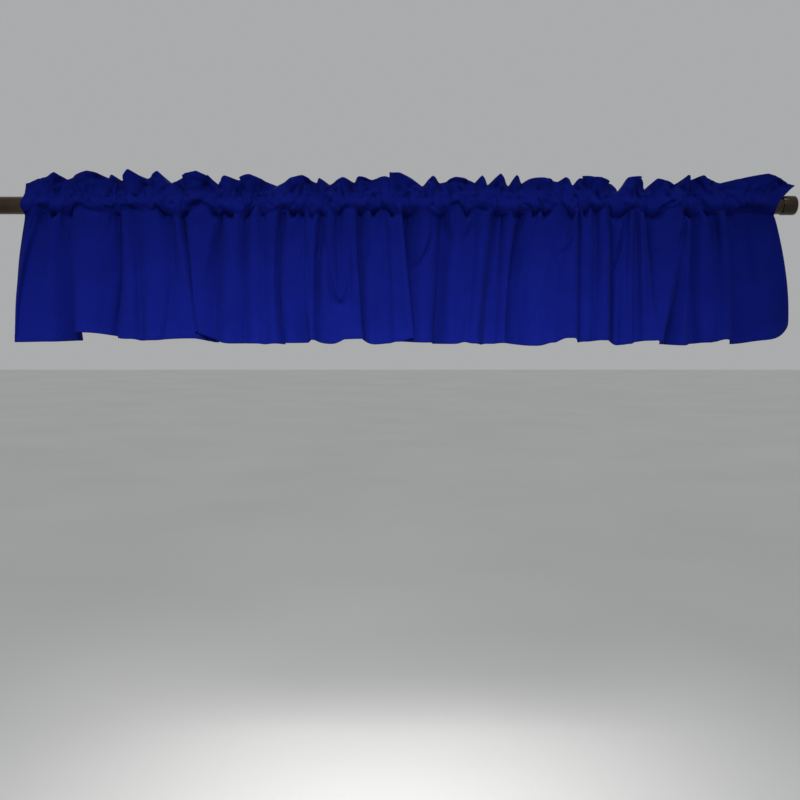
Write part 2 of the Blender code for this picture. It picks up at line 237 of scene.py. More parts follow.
LEFT_FOLDS = [Fold(*row) for row in (
    (-784, -807, -815, 0.45, 0.4, 0.35, 0, 0.1, -297, -297, 0, 0),
    (-738, -786, -806, 0.4, 0.3, 0.1, 4, 0.05, -297, -296, 0.1, 0),
    (-697, -682, -675, 0.45, 0.5, 0.9, -26, 0, -294, -276, 0, 1.1),
    (-580, -581, -594, 0.75, 0.68, 0.72, 2, 0.1, -285, -290, 0.7, 1.7),
    (-545, -541, -535, 0.32, 0.32, 0.32, 0, 0, -294, -293, 0.2, 0.4),
    (-467, -468, -485, 0.36, 0.34, 0.26, 4, 0.05, -291, -289, 0.3, 0.4),
    (-441, -411, -373, 0.62, 0.58, 0.95, -41, 0, -298, -275, 0, 1.1),
    (-356, -371, -378, 0.52, 0.46, 0.44, 4, 0, -291, -300, 0.9, 0.6),
    (-307, -310, -310, 0.42, 0.34, 0.34, 0, 0.05, -300, -300, 0.35, 0.35),
    (-272, -268, -266, 0.3, 0.2, 0.18, 0, 0, -302, -300, 0.2, 0.2),
    (-220, -233, -224, 0.45, 0.38, 0.44, -10, 0.05, -302, -299, 0.2, 0.8),
    (-179, -182, -175, 0.4, 0.16, 0.45, 0, 0.05, -299, -292, 0.4, 0.4),
    (-142, -151, -152, 0.46, 0.38, 0.36, 0, 0, -296, -301, 0.4, 0.6),
    (-107, -105, -93, 0.34, 0.2, 0.1, 9, 0.05, -291, -290, 0.3, 0.3),
    (-64, -61, -54, 0.54, 0.42, 0.42, 0, 0, -292, -302, 1.3, 0.4),
    (-3, -3, 1, 0.32, 0.18, 0.14, -2, -0.02, -300, -296, 0.2, 0.2),
    (32, 45, 58, 0.05, -0.05, -0.05, 0, 0, -288, -288, 0, 0),
)]

RIGHT_FOLDS = [Fold(*row) for row in (
    (30, 22, 19, 0.8, 0.85, 0.85, 20, 0.08, -296, -298, 0, 0),
    (119, 110, 100, 0.6, 0.54, 0.66, 4, 0, -301, -301, 0.5, 0.3),
    (187, 184, 170, 0.32, 0.26, 0.2, 0, 0.05, -297, -300, 0.2, 0.2),
    (235, 218, 206, 0.55, 0.5, 0.48, 0, 0.34, -303, -301, 0.5, 1.2),
    (248, 240, 233, 0.5, 0.38, 0.32, 6, 0.1, -301, -299, 1.3, 0.6),
    (285, 263, 256, 0.78, 0.7, 0.66, 8, 0, -299, -305, 1.3, 0.4),
    (396, 366, 366, 0.3, 0.2, 0.2, 2, 0.05, -298, -288, 0.1, 0.2),
    (414, 416, 417, 0.42, 0.31, 0.31, 0, 0.05, -298, -296, 1, 0.9),
    (450, 452, 448, 0.32, 0.28, 0.28, 0, 0.05, -295, -293, 0.3, 0.3),
    (481, 486, 487, 0.55, 0.55, 0.55, 0, 0.24, -294, -304, 1.2, 0.4),
    (520, 514, 513, 0.34, 0.16, 0.14, 0, 0.05, -303, -301, 0.1, 0.1),
    (537, 540, 542, 0.3, 0.26, 0.26, 0, 0, -297, -294, 0.1, 0.2),
    (560, 575, 590, 0.5, 0.34, 0, 0, 0.05, -293, -297, 0.5, 0.8),
    (641, 630, 604, 0.22, 0.28, 1.1, 8, 0, -302, -304, 1.6, 0.5),
    (662, 657, 666, 0.46, 0.46, 0.46, 2, 0.05, -301, -298, 0.1, 0.1),
    (706, 714, 718, 0.38, 0.22, 0.16, 0, 0, -296, -291, 0.3, 0.3),
    (731, 750, 758, 0.42, 0.48, 0.85, 8, 0.34, -302, -293, 0.6, 0),
    (842, 871, 890, 0.55, 0.6, 0.8, 0, 0, -296, -296, 0, 0),
)]

LEFT_RUFFLES = [Ruffle(*row) for row in (
    (-789, 4, -786, -719, 12, 0.2),
    (-699, 10, -700, -650, 14, 0.6),
    (-608, 9, -612, -595, 6, 0),
    (-582, 13, -580, -562, 14, 0.3),
    (-523, 11, -528, -495, 13, 0.3),
    (-471, 14, -445, -410, 19, 1.5),
    (-371, 13, -392, -351, 8, 0.2),
    (-325, 12, -318, -299, 18, 1.4),
    (-243, 14, -268, -188, 14, 0.6),
    (-154, 12, -158, -144, 6, 0),
    (-127, 11, -126, -98, 12, 0.4),
    (-71, 10, -74, -55, 8, 0.2),
    (-33, 10, -36, -10, 4, 0),
    (22, 14, 31, 22, 0, 0),
)]

RIGHT_RUFFLES = [Ruffle(*row) for row in (
    (5, -9, 33, 30, 15, 0),
    (76, 12, 78, 99, 10, 0.2),
    (115, 10, 112, 152, 14, 0.7),
    (190, 12, 188, 206, 9, 0),
    (219, 13, 222, 245, 13, 0.4),
    (264, 11, 262, 279, 9, 0.1),
    (294, 12, 290, 338, 15, 0.6),
    (372, 10, 368, 386, 7, 0),
    (408, 13, 414, 448, 20, 1.5),
    (506, 14, 490, 536, 16, 0.9),
    (560, 12, 548, 590, 12, 0.5),
    (634, 10, 640, 652, 8, 0),
    (661, 11, 662, 684, 12, 0.4),
    (728, 13, 730, 812, 12, 0.5),
    (886, 0, 842, 886, 0, 0),
)]

# A point on the pocket's lower seam: its x, its height, and how far the seam is tucked back there, from 0,
# where a fold runs down over it, to 1, where it lies in a deep groove.
Seam = namedtuple("Seam", "x z tuck")

LEFT_SEAM = [Seam(*row) for row in (
    (-784, -17, 0.2), (-758, -4, 0.2), (-730, -10, 0.9), (-726, -27, 1), (-711, -17, 0.7),
    (-692, -27, 0.8), (-681, -25, 1), (-676, -8, 1), (-663, -4, 0.3), (-646, -12, 0.5),
    (-614, -19, 0.5), (-603, -4, 0.3), (-592, -17, 0.7), (-581, -10, 0.7), (-532, -14, 0.7),
    (-525, -6, 0), (-508, -17, 0), (-497, -6, 0.8), (-480, -27, 0.8), (-471, -21, 0.1),
    (-448, -25, 0.1), (-439, -29, 1), (-424, -8, 1), (-400, 4, 0.8), (-387, -8, 1),
    (-370, -27, 1), (-363, -25, 0.1), (-355, -19, 0.9), (-337, -29, 1), (-331, -21, 0.1),
    (-311, -25, 0.1), (-305, -29, 1), (-296, -19, 0.8), (-281, -2, 0.8), (-268, -29, 0.9),
    (-260, -21, 0.2), (-223, -8, 0.1), (-214, -12, 0.7), (-204, -27, 1), (-193, -17, 0.8),
    (-182, -27, 0.9), (-175, -4, 0.8), (-165, -34, 0.7), (-156, -21, 0.2), (-145, -19, 0.8),
    (-137, -29, 0.7), (-128, -17, 0), (-115, -17, 0), (-106, -27, 0.6), (-91, -8, 0.8),
    (-70, -8, 0.9), (-59, -25, 0.9), (-50, -21, 0.2), (-39, -10, 0.8), (-33, -27, 1),
    (-16, -12, 0.9), (0, -12, 1), (8, -27, 0.9), (22, -22, 0.3), (31, -22, 0.2),
)]

RIGHT_SEAM = [Seam(*row) for row in (
    (33, -26, 1), (47, -19, 0.4), (79, -12, 0), (110, -21, 0), (118, -29, 0.8), (127, -10, 0.7),
    (153, 3, 0.7), (172, -29, 0.8), (185, -10, 0.9), (211, -12, 0.9), (220, -17, 0.1),
    (230, -19, 0.5), (237, -31, 1), (246, -21, 0), (269, -17, 0), (276, -34, 0.7),
    (287, -12, 0.8), (310, -8, 0.8), (317, -29, 0.8), (332, -10, 0.7), (338, -29, 0.7),
    (362, -10, 0.7), (375, 3, 0.7), (386, -14, 0.7), (399, -34, 0.7), (408, -17, 0.1),
    (418, -4, 0.9), (427, -27, 1), (438, -4, 0.9), (449, -21, 0.8), (464, -8, 0.8),
    (479, -8, 0.8), (487, -29, 1), (505, -29, 0.9), (524, -12, 0.9), (544, -8, 1),
    (548, -21, 0.3), (554, -12, 0.9), (561, -31, 0.8), (580, -31, 0.7), (598, -14, 0.4),
    (632, -4, 0.1), (643, -21, 0.9), (658, -31, 0.9), (667, -19, 0.1), (677, -10, 0.8),
    (695, -27, 0.8), (703, -17, 0.1), (716, -17, 0.1), (725, -10, 0.8), (740, -25, 0.9),
    (751, -19, 0.2), (759, -10, 0.8), (790, -16, 1), (818, -17, 1), (842, -22, 1),
)]

# The header's top edge: x and height
LEFT_TOP = (
    (-789, 46), (-773, 50), (-756, 56), (-734, 58), (-719, 69), (-699, 56), (-664, 66), (-647, 71),
    (-629, 68), (-608, 59), (-595, 64), (-582, 55), (-570, 62), (-559, 75), (-538, 63), (-523, 58),
    (-495, 71), (-473, 49), (-458, 55), (-429, 68), (-397, 71), (-371, 45), (-353, 62), (-325, 55),
    (-299, 64), (-264, 51), (-242, 43), (-207, 57), (-183, 62), (-154, 48), (-149, 58), (-127, 45),
    (-96, 58), (-70, 49), (-66, 61), (-33, 56), (-5, 61), (30, 55),
)
RIGHT_TOP = (
    (5, 68), (28, 66), (54, 55), (76, 41), (99, 62), (115, 48), (147, 58), (180, 54), (191, 49),
    (206, 63), (219, 44), (245, 66), (264, 40), (279, 64), (293, 48), (310, 57), (343, 56), (372, 51),
    (386, 59), (408, 47), (419, 60), (463, 56), (484, 48), (500, 43), (506, 22), (513, 38), (520, 58),
    (557, 59), (561, 33), (582, 55), (626, 47), (652, 64), (660, 55), (684, 62), (689, 55), (728, 49),
    (756, 55), (821, 65), (854, 54), (886, 42),
)

LEFT_CREASES = [Crease(*row) for row in (
    (-762, -24, -772, -50, -786, -84, 6, 7),
    (-739, -80, -755, -155, -781, -230, 4, 13),
    (-570, -34, -556, -60, -538, -90, 3.5, 6),
    (-136, -68, -148, -95, -152, -120, 3, 5),
    (-134, -56, -108, -206, -80, -138, 5.5, 7.5, 1),
    (-178, -70, -179, -95, -180, -125, 5, 5),
    (-334, -22, -334, -60, -335, -108, 2.5, 4),
    (-374, -36, -388, -100, -402, -170, -4, 9),
    (-82, -40, -82, -130, -83, -230, 2.2, 4),
    (-48, -40, -46, -90, -44, -145, 4, 12),
    (-718, 62, -716, 30, -711, 2, 5, 4),
    (-640, 58, -646, 30, -652, 10, 5, 4),
    (-664, 30, -655, 12, -640, 4, 4, 4),
    (-581, 54, -580, 28, -578, 2, 5, 4),
    (-461, 50, -447, 32, -430, 12, 6, 4),
    (-372, 42, -380, 26, -394, 14, 5, 4),
    (-331, 45, -318, 14, -304, -14, 5, 4),
    (-266, 34, -282, 10, -300, -14, 5, 4),
    (-166, 46, -160, 28, -150, 6, 5, 4),
    (-137, 20, -124, 36, -106, 50, 5, 4),
    (-440, -26, -405, -2, -368, -26, 5, 7),
    (-612, 52, -626, 58, -640, 60, 5, 5),
    (-606, -14, -565, -9, -520, -17, 5, 7),
    (-62, 52, -54, 34, -50, 12, 5, 4),
)]

RIGHT_CREASES = [Crease(*row) for row in (
    (47, -138, 84, -100, 95, -36, 6, 5, 1),
    (118, -36, 128, -66, 140, -100, 3.5, 12),
    (188, -36, 178, -60, 165, -82, 3.5, 6),
    (364, -108, 390, -90, 399, -58, 5, 4, 0.8),
    (517, -37, 506, -92, 485, -146, 8.5, 5, 0.8),
    (642, -54, 634, -78, 628, -104, 3.5, 4),
    (708, -44, 712, -70, 716, -98, 3, 6),
    (766, -36, 786, -110, 804, -205, 5, 13),
    (106, 52, 114, 34, 124, 14, 5.5, 4),
    (124, 50, 158, 47, 196, 43, 4, 4),
    (128, 46, 130, 30, 132, 14, 3, 4),
    (238, 40, 246, 22, 244, 2, 4, 4),
    (400, 58, 408, 44, 418, 30, 6, 4),
    (476, 44, 484, 28, 480, 12, 4, 4),
    (584, -18, 606, 0, 636, 12, 6, 4),
    (612, 28, 628, 44, 646, 60, 6, 4),
    (650, 50, 656, 26, 658, 0, 5, 4),
    (674, 50, 680, 36, 686, 20, 4, 4),
    (716, 32, 738, 36, 760, 33, 4, 4),
    (772, 28, 800, 38, 832, 52, -4, 5),
    (742, -17, 788, -14, 840, -20, 6, 8),
)]

PANELS = (
    Panel("panel_left", LEFT_FOLDS, LEFT_RUFFLES, LEFT_SEAM, LEFT_TOP, LEFT_CREASES,
          (-6, 0), (-3, 0), (0, 0), False, False, 11),
    Panel("panel_right", RIGHT_FOLDS, RIGHT_RUFFLES, RIGHT_SEAM, RIGHT_TOP, RIGHT_CREASES,
          (0, -4), (0, -6), (-26, 22), True, True, 23),
)


# --- The cloth's form ---


def column(rows, name):
    """One column of a table."""
    return np.array([getattr(row, name) for row in rows], float)


def columns(rows, names):
    """Some columns of a table."""
    return [column(rows, name) for name in names.split()]


def rise(place):
    """0 in a fold's valleys and 1 on its crest."""
    return (1 - np.cos(2 * np.pi * place)) / 2


def over_folds(valleys, crests, index, place, sharpness=1):
    """A value that goes from each valley over the crest to the next valley. The sharper it is, the more
    suddenly it changes halfway up a side."""
    nearest = np.where(place < 0.5, valleys[index], valleys[index + 1])
    up = rise(place) ** sharpness
    down = (1 - rise(place)) ** sharpness
    return nearest + (crests[index] - nearest) * up / (up + down)


def along_folds(valleys, lean, index, place, steep, fan=0):
    """The x of each line: steep valley sides, broad crests, and crests that lean or fan out."""
    half = 0.5 * (2 * np.minimum(place, 1 - place)) ** (1 + VALLEY_NARROWING * steep)
    share = np.where(place < 0.5, half, 1 - half)
    share = share + fan * np.sin(4 * np.pi * place) / (4 * np.pi)
    return valleys[index] + (valleys[index + 1] - valleys[index]) * share + lean[index] * rise(place)


def by_height(seam, middle, hem, down):
    """The smooth curve through a value at the seam, halfway down and at the hem."""
    return seam * (1 - down) * (1 - 2 * down) + middle * 4 * down * (1 - down) + hem * down * (2 * down - 1)


def valley_sides(folds, index, place):
    """How steep the nearest valley's side is: its right side before the crest, its left side after it."""
    left, right = columns(folds, "left right")
    return np.where(place < 0.5, right[index], left[index + 1])


def row_of(x, y, z):
    """One row of points along the panel."""
    return np.stack(np.broadcast_arrays(x, y, z), axis=-1).astype(float)


def lengths_along(row):
    """How far each point of a row or a line is from its first, along it."""
    return np.append(0, np.cumsum(np.linalg.norm(np.diff(row, axis=0), axis=1)))


def end_run(x_seam, ends, run, turn_in=(2, 2)):
    """How far each line stands out at the panel's ends, fading along the panel."""
    from_first = np.clip(1 - (x_seam - x_seam[0]) / run, 0, 1)
    from_last = np.clip(1 - (x_seam[-1] - x_seam) / run, 0, 1)
    return ends[0] * from_first ** turn_in[0] + ends[1] * from_last ** turn_in[1]


def skirt_row(panel, index, place, seam_y, seam_z, down, unevenness):
    """The skirt at one height, from 0 at the seam to 1 at the hem."""
    folds = panel.folds
    x_hem, lean, set_back, z_valley, z_crest = columns(folds, "x_hem lean set_back z_valley z_crest")
    valley_x = by_height(*columns(folds, "x_seam x_mid x_hem"), down)
    deep = by_height(*columns(folds, "deep_seam deep_mid deep_hem"), down)
    steep = valley_sides(folds, index, place)
    x = along_folds(valley_x, lean * down**LEAN_GROWTH, index, place, steep)
    y = FRONT_PLANE + FOLD_DEPTH * over_folds(deep, set_back, index, place)
    skew, shoulder = (by_height(*curve, down)[index] for curve in unevenness)
    y = y + (skew * np.sin(2 * np.pi * place) + shoulder * np.sin(4 * np.pi * place)) * rise(place)
    hung_over = np.where(place < 0.5, lean[index] < 0, lean[index] > 0)
    hem = over_folds(z_valley, z_crest, index, place, 1 + HEM_SUDDENNESS * steep * hung_over)
    if panel.rounded:
        wide, tall, curl = CORNER
        beyond = along_folds(x_hem, lean, index, place, steep) - folds[-1].x_hem
        rounding = 1 - np.sqrt(1 - np.clip(beyond / wide + 1, 0, 1) ** 2)
        hem = hem + tall * rounding
        y = y + curl * rounding * down**CURL_GROWTH
    z = seam_z + (hem - seam_z) * down
    spread = (1 - np.exp((z - seam_z) / SKIRT_SPREAD)) ** DEPTH_GROWTH
    return row_of(x, seam_y + (y - seam_y) * spread, z)


def header_row(panel, index, place, top_seam, up):
    """The header's middle at one height, from 0 at its seam to 1 at its top edge."""
    x_dip, x_peak, back, forward, fan = columns(panel.ruffles, "x_dip x_peak back forward fan")
    lean = np.append(x_peak[:-1] - (x_dip[1:] + x_dip[:-1]) / 2, 0)
    x = along_folds(x_dip, lean, index, place, RUFFLE_STEEPNESS, fan[index])
    y = over_folds(back, -forward, index, place) - HEADER_FORWARD
    z = rounded_curve(x, *np.array(panel.top, float).T, EDGE_ROUNDING)
    x_seam, seam_y, seam_z = top_seam.T
    return row_of(
        x_seam + (x - x_seam) * up**FAN_GROWTH,
        seam_y + (y - HEADER_SEAM_Y) * up**FORWARD_GROWTH,
        seam_z + (z - seam_z) * up,
    )


def header_seam_row(panel, x_seam, puff, random):
    """The header's seam, which winds a little and stands out at its ends."""
    turns = random.uniform(0, 2 * math.pi, len(SEAM_WAVES))
    waves = sum(np.sin(x_seam / length + turn) for length, turn in zip(SEAM_WAVES, turns))
    x = x_seam + end_run(x_seam, panel.header_ends, OVERLAP_RUN, HEADER_TURN_IN)
    y = HEADER_SEAM_Y + HEADER_GATHER * (1 - 2 * puff)
    return row_of(x, y, HEADER_SEAM_Z + SEAM_WINDING * waves)


def rounded_curve(x, places, values, rounding):
    """The value at each x of the line through some points, with its corners rounded."""
    margin, step, reach = 15, 0.5, 24
    fine = np.arange(places[0] - margin, places[-1] + margin, step)
    kernel = np.exp(-((np.arange(-reach, reach + 1) * step / rounding) ** 2))
    smooth = np.convolve(np.interp(fine, places, values), kernel / kernel.sum(), mode="same")
    return np.interp(x, fine[reach:-reach], smooth[reach:-reach])


def low_seam_row(panel, x_seam):
    """The pocket's lower seam, which winds up and down round the rod's lower front, and how tucked it is."""
    places, height, tuck = columns(panel.seam, "x z tuck")
    z = rounded_curve(x_seam, places, height, SEAM_ROUNDING)
    tucked = rounded_curve(x_seam, places, tuck, SEAM_ROUNDING)
    hug = -np.sqrt(np.maximum(TUCK_BACK**2, TUCK_REACH**2 - z**2))
    return row_of(x_seam, BRIDGE_Y + (hug - BRIDGE_Y) * tucked, z), tucked


def front_wall_row(top_seam, low_seam, share, puff, tuck, front_ends):
    """A row of the pocket's front wall. It hangs down in front of the rod, and curves back to the seam."""
    (top_x, top_y, top_z), (low_x, low_y, low_z) = top_seam.T, low_seam.T
    bulge = math.sin(math.pi * share**WALL_FULLNESS) ** WALL_ROUNDNESS
    y = top_y + (low_y - top_y) * share ** (1 + TUCK_LATENESS * tuck)
    y = y - (POCKET_STAND + POCKET_PUFF * puff) * bulge
    z = top_z + (low_z - top_z) * share
    y = np.minimum(y, -np.sqrt(np.maximum(WALL_REACH**2 - z**2, 1)))
    x = low_x + (top_x - low_x) * (1 - share) ** FRONT_TURN_IN
    return row_of(x + front_ends * math.sin(math.pi * share), y, z)


def back_gathers(random, x_seam):
    """How far the small gathers on the pocket's back stand out along the panel."""
    depths, widths, spacings = (0.4, 3.2), (2.4, 6.0), (5, 15)
    total = np.zeros(len(x_seam))
    middle = x_seam[0]
    while middle < x_seam[-1]:
        total += random.uniform(*depths) * groove(x_seam - middle, random.uniform(*widths))
        middle += random.uniform(*spacings)
    return total


def back_wall_row(top_seam, low_seam, share, slack, back_ends):
    """A row of the pocket's back wall, from the header's seam over the rod and down behind it."""
    (top_x, top_y, top_z), (low_x, low_y, low_z) = top_seam.T, low_seam.T
    top_angle = np.arctan2(-top_y, top_z)
    low_angle = np.arctan2(-low_y, low_z) % (2 * np.pi)
    angle = top_angle + (low_angle - top_angle - 2 * np.pi) * share
    top_reach = np.hypot(top_y, top_z)
    low_reach = np.hypot(low_y, low_z)
    bulge = math.sin(math.pi * share) ** BACK_ROUNDNESS
    straight = top_reach + (low_reach - top_reach) * share
    reach = np.maximum(straight + (BACK_TIGHT + slack - straight) * bulge, WALL_REACH)
    x = low_x + (top_x - low_x) * (1 - share) ** BACK_TURN_IN
    return row_of(x + back_ends * bulge, -reach * np.sin(angle), reach * np.cos(angle))


def facing(grid):
    """The unit normals of a grid of points, pointing to the front."""
    normal = np.cross(np.gradient(grid, axis=0), np.gradient(grid, axis=1))
    return normal / np.maximum(np.linalg.norm(normal, axis=2, keepdims=True), 1e-9)


def cloth_lines(panel, unevenness):
    """The fold that each line lies in, its place in it, and how far along the cloth it is. The lines are
    evenly spaced along the cloth halfway down, and closer at the two side hems."""
    last = len(panel.folds) - 1
    fine = np.linspace(0, last, FOLD_STEPS * last)
    index = np.minimum(fine.astype(int), last - 1)
    length = lengths_along(skirt_row(panel, index, fine - index, 0, POCKET_SEAM_Z, 0.5, unevenness))
    hem = np.array(SIDE_HEM_LINES) * SIDE_HEM
    between = np.linspace(hem[-1], length[-1] - hem[-1], CLOTH_LINES - 2 * len(hem) + 2)
    along = np.concatenate([hem, between[1:-1], length[-1] - hem[::-1]])
    parameter = np.interp(along, length, fine)
    index = np.minimum(parameter.astype(int), last - 1)
    return index, parameter - index, along


def ruffle_lines(ruffles, x_seam):
    """The ruffle above each line, and its place in it, from where the line meets the seam."""
    dips = column(ruffles, "x_seam")
    index = np.clip(np.searchsorted(dips, x_seam, side="right") - 1, 0, len(dips) - 2)
    return index, np.clip((x_seam - dips[index]) / (dips[index + 1] - dips[index]), 0, 1)


def skirt_downs():
    """The skirt's rows: close under the seam, wider down the skirt, and close at the hem."""
    drop = POCKET_SEAM_Z - column(LEFT_FOLDS, "z_valley").mean()
    seam = np.array(SEAM_ROWS) / drop
    hem = 1 - np.array(HEM_ROWS) * BOTTOM_HEM / drop
    between = np.linspace(seam[-1], hem[0], SKIRT_ROWS - len(seam) - len(hem) + 2)
    return np.concatenate([seam, between[1:-1], hem])


# --- Puckers, swells, crumples and creases ---


def groove(across, width):
    """The section of a soft groove, 1 at its middle."""
    return np.exp(-((across / width) ** 2))


def fade(height, reach):
    """1 at a seam, falling to 0 at a pucker's reach."""
    return np.clip(1 - height / reach, 0, 1) ** PUCKER_FADE


def seam_puckers(random, along, z):
    """How deep the small puckers at the pocket's seam are at each point of the grid. A few are ridges."""
    spacing, first_step, next_step = 13, (0.3, 1), (0.45, 1.6)
    widths, depth, strengths, signs = (2.2, 5.0), 2.6, (0.35, 1.0), (1, 1, 1, -0.6)
    up_reach, down_reach, slanting = (4, 10), (18, 95), 0.12
    side_reach, widening = 40, 60
    total = np.zeros(z.shape)
    height = z - POCKET_SEAM_Z
    middle = along[0] + spacing * random.uniform(*first_step)
    while middle < along[-1] - SIDE_HEM:
        width = random.uniform(*widths)
        strength = depth * random.uniform(*strengths) * random.choice(signs)
        above = random.uniform(*up_reach)
        below = random.uniform(*down_reach)
        slant = random.normal(0, slanting)
        side = along[None, :] - middle - slant * height
        reach = np.where(height > 0, fade(height, above), fade(-height, below))
        near = np.abs(along - middle) < side_reach
        wider = width * (1 + np.abs(height[:, near]) / widening)
        total[:, near] += strength * groove(side[:, near], wider) * reach[:, near]
        middle += spacing * random.uniform(*next_step)
    return total


def skirt_swells(random, along, z):
    """Soft uneven ridges and hollows of the hanging cloth, longer than the puckers."""
    spacing, depth, slanting = 16, 1.1, 0.10
    widths, levels, talls = (6, 16), (-290, -50), (35, 110)
    side_reach, margin = 3, 30
    total = np.zeros(z.shape)
    for number in range(int(along[-1] / spacing)):
        middle = random.uniform(along[0], along[-1])
        width = random.uniform(*widths)
        strength = random.normal(0, depth)
        level = random.uniform(*levels)
        tall = random.uniform(*talls)
        slant = random.normal(0, slanting)
        near = np.abs(along - middle) < side_reach * width + margin
        side = along[None, near] - middle - slant * (z[:, near] - level)
        total[:, near] += strength * groove(side, width) * groove(z[:, near] - level, tall)
    return total


def crumples(random, x, z, kind, spacings):
    """Grooves and humps of one kind, at any slant, where the gathered header and pocket are crumpled."""
    signs, margin, side_reach, side_margin = (1, 1, -0.7), 4, 2.2, 12
    total = np.zeros(z.shape)
    first, last = x[0].min(), x[0].max()
    for number in range(kind.number * spacings):
        middle = random.uniform(first + margin, last - margin)
        level = random.uniform(*kind.levels)
        turn = random.normal(0, kind.slanting)
        width = random.uniform(*kind.widths)
        length = random.uniform(*kind.lengths)
        strength = random.uniform(*kind.depths) * random.choice(signs)
        near = np.abs(x[0] - middle) < side_reach * length + side_margin
        side = x[:, near] - middle
        height = z[:, near] - level
        across = side * math.cos(turn) + height * math.sin(turn)
        lengthwise = height * math.cos(turn) - side * math.sin(turn)
        total[:, near] += strength * groove(across, width) * groove(lengthwise, length)
    return total


def crumpled(panel, random, x, z, x_seam, low_z):
    """How far back the header and the pocket are pushed at each point. An end that overlaps stands out."""
    spacings = int((x_seam[-1] - x_seam[0]) / CRUMPLE_SPACING)
    depth = sum(crumples(random, x, z, kind, spacings) for kind in CRUMPLES)
    above = z - low_z
    from_ends = np.minimum(x_seam - x_seam[0], x_seam[-1] - x_seam)
    depth *= np.clip(above / CRUMPLE_FADE, 0, 1) * np.clip(END_CRUMPLE + from_ends / END_CRUMPLE_RUN, 0, 1)
    if panel.overlaps:
        lifted = np.clip(1 - (x_seam - x_seam[0]) / OVERLAP_RUN, 0, 1)
        depth -= OVERLAP_LIFT * (lifted * np.clip((above - OVERLAP_FROM) / OVERLAP_RISE, 0, 1))
    return depth


def drawn_crease(crease, grid):
    """How deep one drawn crease is at each point, from its path in the front view."""
    steps, side_reach, first_share, crease_share = 41, 3, 0.07, 0.86
    t = np.linspace(0, 1, steps)[:, None]
    start, middle, end = np.array(crease[:6], float).reshape(3, 2)
    path = (1 - t) ** 2 * start + 2 * t * (1 - t) * (2 * middle - (start + end) / 2) + t**2 * end
    low = path.min(axis=0) - side_reach * crease.width
    high = path.max(axis=0) + side_reach * crease.width
    flat = grid[..., [0, 2]]
    near = np.all((flat > low) & (flat < high), axis=2)
    away = flat[near][:, None, :] - path[None]
    closest = np.linalg.norm(away, axis=2).argmin(axis=1)
    away = away[np.arange(len(closest)), closest] / crease.width
    way = np.gradient(path, axis=0)[closest]
    way /= np.linalg.norm(way, axis=1, keepdims=True)
    left_hand = away[:, 1] * way[:, 0] - away[:, 0] * way[:, 1]
    section = groove(np.linalg.norm(away, axis=1), 1) * (1 - 2 * crease.lap * left_hand)
    taper = np.sin(np.pi * np.clip(t[closest, 0] * crease_share + first_share, 0, 1))
    total = np.zeros(near.shape)
    total[near] = crease.depth * section * taper
    return total


def front_of_panel(panel):
    """The grid of points of the cloth that faces the room, from the header's top edge to the hem, with
    the numbers of its two seam rows, how far along the cloth each line is, and the pocket's back wall."""
    random = np.random.RandomState(panel.seed)
    folds = len(panel.folds)
    unevenness = random.normal(0, 1, (2, 3, folds)) * np.array(UNEVENNESS)[:, None, None]
    index, place, along = cloth_lines(panel, unevenness)
    steep = valley_sides(panel.folds, index, place)
    x_seam = along_folds(column(panel.folds, "x_seam"), np.zeros(folds), index, place, steep)
    ruffle, ruffle_place = ruffle_lines(panel.ruffles, x_seam)
    puff = rise(ruffle_place)
    top_seam = header_seam_row(panel, x_seam, puff, random)
    low_seam, tuck = low_seam_row(panel, x_seam)
    low_y, low_z = low_seam[:, 1], low_seam[:, 2]
    header = [header_row(panel, ruffle, ruffle_place, top_seam, up) for up in HEADER_UPS]
    skirt = [skirt_row(panel, index, place, low_y, low_z, down, unevenness) for down in skirt_downs()]
    front_ends = end_run(x_seam, panel.front_ends, END_RUN)
    shares = 1 - (1 - np.arange(1, WALL_TURNS) / WALL_TURNS) ** WALL_CLOSENESS
    wall = [front_wall_row(top_seam, low_seam, share, puff, tuck, front_ends) for share in shares]

    grid = np.array(header + [top_seam] + wall + [low_seam] + skirt)
    x, z = grid[..., 0], grid[..., 2]
    grid[..., 1] += crumpled(panel, random, x, z, x_seam, low_z)
    depth = seam_puckers(random, along, z)
    depth += skirt_swells(random, along, z) * np.clip((HEADER_SEAM_Z - z) / SWELL_FADE, 0, 1)
    for crease in panel.creases:
        depth += drawn_crease(crease, grid)
    grid -= facing(grid) * depth[..., None]
    clear_of_rod(grid)

    top_row = len(header)
    low_row = top_row + WALL_TURNS
    back_ends = end_run(x_seam, panel.back_ends, END_RUN)
    upper, middle, lower = (back_gathers(random, x_seam) for level in range(3))
    back = []
    for share in np.arange(1, BACK_TURNS) / BACK_TURNS:
        slack = 1 - puff + by_height(upper, middle, lower, share)
        back.append(back_wall_row(grid[top_row], grid[low_row], share, slack, back_ends))
    return grid, top_row, low_row, along, np.array(back)


def clear_of_rod(grid):
    """Push any point that came too near the rod back out."""
    reach = np.hypot(grid[..., 1], grid[..., 2])
    grid[..., 1:] *= np.maximum(1, CLEAR_REACH / np.maximum(reach, 1))[..., None]


def whole_cloth(panel):
    """The whole path of the cloth: up the back from the pocket's lower seam, over the header's top edge
    and down the front to the hem."""
    front, top_row, low_row, along, back = front_of_panel(panel)
    normal = facing(front)
    half = len(SEAM_TAPER) // 2
    layer = np.zeros(len(front))
    layer[: top_row - half] = HEADER_LAYER
    layer[top_row - half : top_row + half] = SEAM_TAPER
    shown = front + normal * layer[:, None, None]
    behind = front - normal * layer[:, None, None]
    crown = front[:1] + (front[:1] - front[1:2]) * CROWN_RISE
    tail_rows = slice(low_row, low_row + TAIL_ROWS)
    tail = front[tail_rows] - normal[tail_rows] * TAIL_SET_BACK
    path = np.concatenate([tail[::-1], back[::-1], behind[top_row::-1], crown, shown])
    return path, along, shown, top_row, low_row


# --- Meshes ---


